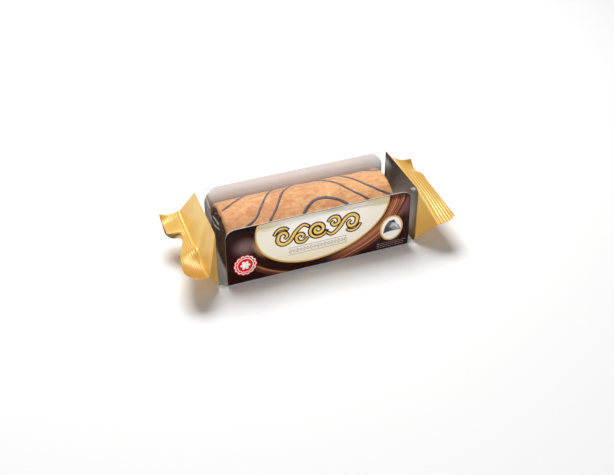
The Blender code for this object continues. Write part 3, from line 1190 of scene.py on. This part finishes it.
# Each crease runs from one point to another on its side of the film, with a width and a strength
TOP_CREASES = (
    ((-0.1012, 0.030), (-0.1030, 0.000), 0.0006, 0.45),
    ((-0.1045, 0.020), (-0.1060, -0.034), 0.0005, 0.18),
    ((0.0990, -0.0368), (0.1070, -0.0345), 0.0018, 0.5),
    ((0.1020, -0.0380), (0.1068, -0.0330), 0.0006, 0.5),
    ((-0.1035, -0.006), (-0.1015, -0.028), 0.0006, 0.4),
    ((-0.1062, -0.020), (-0.1030, -0.034), 0.0006, 0.35),
)
FRONT_CREASES = (
    ((-0.1085, 0.036), (-0.1012, 0.004), 0.0005, 0.5),
    ((-0.1080, 0.020), (-0.1020, 0.002), 0.0005, 0.3),
    ((0.1012, 0.070), (0.1018, 0.002), 0.0006, 0.35),
    ((0.1044, 0.068), (0.1044, 0.030), 0.0005, 0.25),
    ((0.1040, 0.0640), (0.1068, 0.0585), 0.0006, 0.7),
    ((0.1045, 0.0500), (0.1068, 0.0470), 0.0005, 0.4),
    ((-0.0900, 0.0660), (-0.0560, 0.0682), 0.0007, 0.30),
    ((-0.0720, 0.0630), (-0.0380, 0.0655), 0.0006, 0.28),
    ((-0.0560, 0.0665), (0.0100, 0.0676), 0.0006, 0.22),
    ((0.0240, 0.0678), (0.0700, 0.0650), 0.0006, 0.25),
    ((0.0600, 0.0610), (0.0840, 0.0690), 0.0006, 0.30),
    ((0.0740, 0.0570), (0.0960, 0.0672), 0.0006, 0.24),
)


def build_clear_film():
    """The clear tube of film: a section at each x, pushed out by soft ripples and by its creases.

    A point keeps its place round the section and moves along the section's outward direction by the relief.
    """
    left, right = FILM_ENDS["left"], FILM_ENDS["right"]
    first, last = film_box_end(left), film_box_end(right)
    x = np.concatenate([np.linspace(-left["box_reach"], -SIDE_LIMIT, 18)[1:-1],
                        np.linspace(-SIDE_LIMIT, SIDE_LIMIT, 90),
                        np.linspace(SIDE_LIMIT, right["box_reach"], 18)[1:-1]])
    sections = np.stack([first, *[film_section(place) for place in x], last])
    middle = np.array((0.0, 0.0, settings().film.height / 2))
    outward = sections - middle
    outward[..., 0] = 0.0
    outward = unit(outward)
    px, py, pz = sections[..., 0], sections[..., 1], sections[..., 2]
    crease = crease_lines(px, py, pz)
    held = smooth_step(right["box_reach"] - np.abs(px), 0.004, 0.014)
    ripple = 0.00013 * unevenness(px, py + pz, 0.030, 41) + 0.00006 * unevenness(px, py + pz, 0.009, 42)
    on_base = pz < 0.003
    relief = np.where(on_base, 0.0, held * ripple) + 0.0004 * crease
    points = sections + outward * relief[..., None]
    faces = grid_faces(*points.shape[:2], wrap_columns=True)[:, ::-1]
    piece = make_piece("clear_film", points, faces, [clear_film_finish()], "clear_film",
                       attributes={"crease": crease}, sharp=35)
    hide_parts(PACK_NODE)


def edge_reach(end, y, start, deepest):
    """How far the cut edge stands from the middle: full, but for a notch that is steep at its back."""
    steep = 1.0 - smooth_step(y, deepest, start)
    gentle = bell(np.minimum(y - deepest, 0.0), 0.0, 0.032)
    return settings().film.length / 2 - end["notch"] * steep * gentle


def fin_row(end, reach, y, lower):
    """One line of a fin's film along Y, where reach runs from 0 at the seam to 1 at the cut edge.

    The height goes evenly from the seam's waves to the full fin's edge waves with the distance from the
    seam, so both films lie on one surface. The crimp adds a cosine of that distance, deepest near the seam,
    and a raised fold runs beside the seam. The lower film has a wider notch and droops there, so they part.
    """
    film = settings().film
    start, deepest = (0.034, 0.008) if lower else (0.027, 0.018)
    out = edge_reach(end, y, start, deepest)
    x = film.seam_reach + reach * (out - film.seam_reach)
    past = x - film.seam_reach
    seam = waves(end["seam_level"], end["seam_waves"], y)
    edge = waves(end["edge_level"], end["edge_waves"], y)
    share = past / (film.length / 2 - film.seam_reach)
    z = seam + share * (edge - seam)
    z = z - 0.0022 * np.sin(np.pi * share) * bell(y, end["back_end"], 0.014)
    ribs = np.cos(FULL_TURN * past / (film.rib_pitch * end["rib_scale"]))
    strength = 0.50 + 0.50 * bell(share, 0.15, 0.35) + 0.22 * unevenness(y, x, 0.035, 51)
    towards_front = 1.0 + (end["front_ribs"] - 1.0) * smooth_step(-y, 0.004, 0.024)
    strength = np.clip(strength * end["rib_scale"] * towards_front, 0.15, 1.6)
    z = z + film.rib_height / 2 * ribs * strength * smooth_step(share, 0.0, 0.04)
    raised = bell(share, 0.06, 0.06) * (1.0 - smooth_step(share, 0.3, 0.5)) * smooth_step(share, 0.0, 0.03)
    z = z + 0.0010 * raised
    if lower:
        parted = bell(y, 0.022, 0.014) * smooth_step(share, 0.30, 0.9)
        z = z - end["droop"] * parted - 0.0004
    return np.stack([end["side"] * x, y, z], -1)


def fin_section(end, reach):
    """The flat tube of a fin: its upper film, its lower film and the folds that join them at both ends."""
    front_end = -settings().film.seam_width / 2 + end["corner_clip"] * reach**4
    y = np.linspace(front_end, end["back_end"], ROW_POINTS)
    upper, lower = fin_row(end, reach, y, False), fin_row(end, reach, y, True)
    turn = np.linspace(-np.pi / 2, np.pi / 2, SIDE_POINTS)

    def fold(top, bottom, sign):
        middle, half = (top + bottom) / 2, (top - bottom) / 2
        bulge = sign * np.cos(turn)[:, None] * np.array((0.0, 0.0003, 0.0))
        return middle + np.sin(turn)[:, None] * half + bulge

    front = fold(upper[0], lower[0], -1.0)
    back = fold(upper[-1], lower[-1], 1.0)[::-1]
    return np.concatenate([front, upper[1:-1], back, lower[-2:0:-1]])


def painted_fold_shade(points):
    """Painted shade, 0 to 1: deeper where the film faces forwards or down, near the front, and on the fin."""
    along, around = np.gradient(points, axis=0), np.gradient(points, axis=1)
    facing = np.cross(along, around)
    facing /= np.maximum(np.linalg.norm(facing, axis=2), 1e-12)[..., None]
    facing *= np.sign(points[-1, 0, 0])
    forward = smooth_step(-facing[..., 1], 0.30, 0.85) + 0.5 * smooth_step(-facing[..., 2], 0.1, 0.6)
    front = smooth_step(-points[..., 1], 0.034, 0.056)
    fin = smooth_step(np.abs(points[..., 0]), 0.122, 0.129)
    near = smooth_step(-points[..., 1], 0.010, 0.036) * (points[-1, 0, 0] < 0.0)
    return np.clip(0.85 * forward + 0.30 * front + fin * (0.38 + 0.45 * near), 0.0, 1.0)


def build_gold_end(name):
    """One gold end: the box's section closes on the seam, and the ribbed fin runs on to the cut edge.

    Between the box and the seam each point moves along a straight line, with soft pleats that die out at
    both. The sheet is one tube, given the film's thickness inwards, with a dull inner face.
    """
    end = FILM_ENDS[name]
    box, seam = film_box_end(end), fin_section(end, 0.0)
    share = np.linspace(0.0, 1.0, 26)[1:-1]
    closing = box[None] + share[:, None, None] * (seam - box)[None]
    mask = 4.0 * share * (1.0 - share)
    across, out = np.meshgrid(seam[:, 1], share * 0.004)
    pleat = unevenness(across, out, 0.034, 61 if end["side"] < 0 else 62)
    pleat = PLEAT_RISE * mask[:, None] * pleat * (0.35 + 0.65 * smooth_step(-across, 0.0, 0.030))
    closing[..., 0] += end["side"] * pleat
    closing[..., 2] += pleat * np.sign(box[:, 2] - settings().film.height / 2)
    fin = [fin_section(end, reach) for reach in np.linspace(0.0, 1.0, 84)[1:]]
    points = np.stack([box, *closing, seam, *fin])
    rows = np.arange(len(points))[:, None] + np.zeros(points.shape[1])
    upper = np.arange(points.shape[1]) < SIDE_POINTS + ROW_POINTS - 2
    # Painted shadow of the gap under the upper film's cut edge, in the notch of the left end
    painted_gap_shadow = (rows >= len(points) - 4) * upper * bell(points[..., 1], 0.026, 0.020) * (end["notch"] > 0.0)
    box_edge = smooth_step(rows, 7.0, 1.0)
    faces = grid_faces(*points.shape[:2], wrap_columns=True)
    if end["side"] > 0:
        faces = faces[:, ::-1]
    tones = {"painted_fold_shade": painted_fold_shade(points), "painted_gap_shadow": painted_gap_shadow, "box_edge": box_edge}
    piece = make_piece(f"gold_end_{name}", points, faces, [gold_film_finish(), film_inside_finish()],
                       "gold_film", attributes=tones, sharp=50)
    give_thickness(piece, settings().film.thickness, inner=1)
    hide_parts(PACK_NODE)


# ---------------------------------------------------------------- stage, lamps and camera

CAMERA_AZIMUTH = np.radians(-20.26)
CAMERA_ELEVATION = np.radians(38.66)
CAMERA_DISTANCE = 1.153
CAMERA_ASIDE, CAMERA_UP = -0.0002, 0.0059
CAMERA_LENS, SENSOR_WIDTH = 63.32, 36.0
FLOOR_HALF, FLOOR_DROP = 4.0, 0.0002
WORLD_LIGHT = 0.21


def build_stage():
    """A wide white floor just under the pack, two soft lamps, even light all round, and the camera."""
    corners = [(FLOOR_HALF * x, FLOOR_HALF * y, -FLOOR_DROP) for x, y in ((-1, -1), (1, -1), (1, 1), (-1, 1))]
    mesh = bpy.data.meshes.new("floor")
    mesh.from_pydata(corners, [], [(0, 1, 2, 3)])
    f = Finish("white_floor", Roughness=0.9, Specular_IOR_Level=0.0)
    f.paint(f.layer((0.985, 0.985, 0.985), f.noise(3.0, 2.0), 0.04, (0.95, 0.95, 0.95)))
    mesh.materials.append(f.material)
    floor = bpy.data.objects.new("floor", mesh)
    bpy.context.scene.collection.objects.link(floor)

    lamps = (
        ("lamp_above", (-0.05, 0.56, 1.30), (0.0, 0.0, 0.0), (0.80, 0.76), 20.3),
        ("lamp_front", (-0.20, -1.50, 0.26), (0.0, 0.0, 0.03), (1.20, 0.34), 10.0),
    )
    for name, place, target, sides, power in lamps:
        light = bpy.data.lights.new(name, "AREA")
        light.shape, light.energy = "RECTANGLE", power
        light.size, light.size_y = sides
        lamp = bpy.data.objects.new(name, light)
        lamp.location = place
        lamp.rotation_euler = (Vector(target) - Vector(place)).to_track_quat("-Z", "Y").to_euler()
        bpy.context.scene.collection.objects.link(lamp)

    world = bpy.data.worlds.new("studio")
    world.use_nodes = True
    light_round = world.node_tree.nodes["Background"].inputs
    light_round["Color"].default_value = (1.0, 1.0, 1.0, 1.0)
    light_round["Strength"].default_value = WORLD_LIGHT
    scene = bpy.context.scene
    scene.world = world
    scene.view_settings.view_transform = "Standard"

    view = bpy.data.cameras.new("camera")
    view.lens, view.sensor_width = CAMERA_LENS, SENSOR_WIDTH
    view.clip_start, view.clip_end = 0.01, 20.0
    camera = bpy.data.objects.new("camera", view)
    az, el = CAMERA_AZIMUTH, CAMERA_ELEVATION
    back = Vector((np.sin(az) * np.cos(el), -np.cos(az) * np.cos(el), np.sin(el)))
    right = Vector((np.cos(az), np.sin(az), 0.0))
    up = back.cross(right)
    turned = Matrix((right, up, back)).transposed().to_4x4()
    turned.translation = back * CAMERA_DISTANCE + right * CAMERA_ASIDE + up * CAMERA_UP
    camera.matrix_world = turned
    scene.collection.objects.link(camera)
    scene.camera = camera


# ---------------------------------------------------------------- operators, panel and registration


class SWISSROLL_OT_stage(bpy.types.Operator):
    """Make the floor, the lamps and the camera"""
    bl_idname = "swissroll.stage"
    bl_label = "Stage"

    def execute(self, context):
        build_stage()
        return {"FINISHED"}


class SWISSROLL_OT_tray(bpy.types.Operator):
    """Make the folded card tray"""
    bl_idname = "swissroll.tray"
    bl_label = "Card Tray"

    def execute(self, context):
        build_tray()
        return {"FINISHED"}


class SWISSROLL_OT_print(bpy.types.Operator):
    """Make the print of the front panel: oval, rim, medallion, ornament, rules and badge"""
    bl_idname = "swissroll.print"
    bl_label = "Front Print"

    def execute(self, context):
        build_oval()
        build_oval_rim()
        build_medallion()
        build_scroll()
        build_rules()
        build_badge()
        return {"FINISHED"}


class SWISSROLL_OT_cake(bpy.types.Operator):
    """Make the rolled sponge and the cream between its turns"""
    bl_idname = "swissroll.cake"
    bl_label = "Rolled Sponge"

    def execute(self, context):
        build_sponge()
        build_filling()
        return {"FINISHED"}


class SWISSROLL_OT_icing(bpy.types.Operator):
    """Trail the lines of icing over the roll"""
    bl_idname = "swissroll.icing"
    bl_label = "Icing Lines"

    def execute(self, context):
        build_icing()
        return {"FINISHED"}


class SWISSROLL_OT_film(bpy.types.Operator):
    """Make the clear film round the tray"""
    bl_idname = "swissroll.film"
    bl_label = "Clear Film"

    def execute(self, context):
        build_clear_film()
        return {"FINISHED"}


class SWISSROLL_OT_gold_ends(bpy.types.Operator):
    """Make both gold ends with their crimped fins"""
    bl_idname = "swissroll.gold_ends"
    bl_label = "Gold Ends"

    def execute(self, context):
        for name in FILM_ENDS:
            build_gold_end(name)
        return {"FINISHED"}


OPERATORS = (SWISSROLL_OT_stage, SWISSROLL_OT_tray, SWISSROLL_OT_print, SWISSROLL_OT_cake, SWISSROLL_OT_icing,
             SWISSROLL_OT_film, SWISSROLL_OT_gold_ends)


class SWISSROLL_PT_panel(bpy.types.Panel):
    """Lists the pieces of the pack and the sizes and colours they use"""
    bl_label = "Swiss Roll Pack"
    bl_idname = "SWISSROLL_PT_panel"
    bl_space_type = "VIEW_3D"
    bl_region_type = "UI"
    bl_category = "Swiss Roll"

    def draw(self, context):
        chosen = context.scene.swiss_roll
        for group in (chosen.tray, chosen.film, chosen.cake, chosen.front, chosen.colours):
            box = self.layout.box()
            for name in group.__annotations__:
                box.prop(group, name)
        for operator in OPERATORS:
            self.layout.operator(operator.bl_idname)


CLASSES = (TraySizes, FilmSizes, CakeSizes, PrintSizes, PackColours, SwissRollSettings, *OPERATORS,
           SWISSROLL_PT_panel)


def register():
    for one in CLASSES:
        bpy.utils.register_class(one)
    bpy.types.Scene.swiss_roll = PointerProperty(type=SwissRollSettings)


def unregister():
    del bpy.types.Scene.swiss_roll
    for one in reversed(CLASSES):
        bpy.utils.unregister_class(one)


def main():
    register()
    bpy.ops.swissroll.stage()
    bpy.ops.swissroll.tray()
    bpy.ops.swissroll.print()
    bpy.ops.swissroll.cake()
    bpy.ops.swissroll.icing()
    bpy.ops.swissroll.film()
    bpy.ops.swissroll.gold_ends()


if __name__ == "__main__":
    main()
